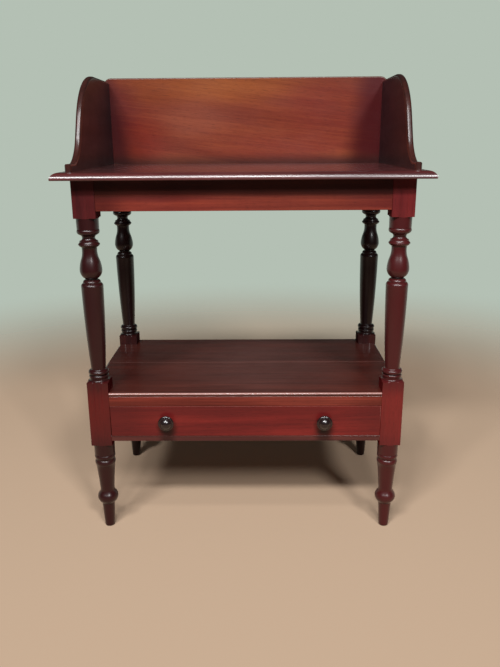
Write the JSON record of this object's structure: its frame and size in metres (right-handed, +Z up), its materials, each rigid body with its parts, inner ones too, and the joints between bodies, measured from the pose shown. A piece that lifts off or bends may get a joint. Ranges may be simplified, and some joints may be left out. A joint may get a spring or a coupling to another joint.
{
  "type": "washstand",
  "caption": "Wooden washstand with a galleried, thumb-moulded top on turned legs, an open shelf below and a long dovetailed drawer under the shelf.",
  "frame": {"origin": "on the floor under the middle of the top board, which is the bottom centre of the whole box", "axes": "+X to the right as seen from the front, +Y to the back, +Z up"},
  "size_m": [0.694, 0.406, 0.935],
  "materials": {
    "polished_mahogany": "French polish, glossy",
    "gallery_mahogany": "French polish, glossy",
    "shelf_mahogany": "French polish, glossy",
    "turned_mahogany": "French polish, glossy",
    "dark_knob_wood": "polished",
    "drawer_lining": "planed, unpolished",
    "pine_inside": "sawn and planed, unpolished",
    "screw_steel": "dull"
  },
  "bodies": {
    "stand": {"top_board": "polished_mahogany", "gallery_back": "gallery_mahogany", "gallery_left": "gallery_mahogany", "gallery_right": "gallery_mahogany", "leg_front_left": "turned_mahogany", "leg_front_right": "turned_mahogany", "leg_back_left": "turned_mahogany", "leg_back_right": "turned_mahogany", "upper_front_rail": "polished_mahogany", "upper_back_rail": "polished_mahogany", "upper_left_rail": "polished_mahogany", "upper_right_rail": "polished_mahogany", "shelf_front_board": "shelf_mahogany", "shelf_back_board": "shelf_mahogany", "drawer_top_rail": "polished_mahogany", "drawer_bottom_rail": "polished_mahogany", "lower_left_rail": "polished_mahogany", "lower_right_rail": "polished_mahogany", "lower_back_rail": "polished_mahogany", "left_runner": "pine_inside", "right_runner": "pine_inside", "left_guide": "pine_inside", "right_guide": "pine_inside", "left_kicker": "pine_inside", "right_kicker": "pine_inside", "drawer_stops": "pine_inside", "top_glue_blocks": "pine_inside", "shelf_glue_blocks": "pine_inside", "top_screws": "screw_steel", "gallery_screws": "screw_steel", "gallery_corner_screws": "screw_steel"},
    "drawer": {"drawer_front": "polished_mahogany", "drawer_left_side": "drawer_lining", "drawer_right_side": "drawer_lining", "drawer_back": "drawer_lining", "drawer_bottom": "drawer_lining", "left_knob": "dark_knob_wood", "right_knob": "dark_knob_wood"}
  },
  "joints": [
    {"name": "drawer_slide", "type": "slide", "parent": "stand", "child": "drawer", "axis": [0, -1, 0], "range_m": [0, 0.25]}
  ]
}
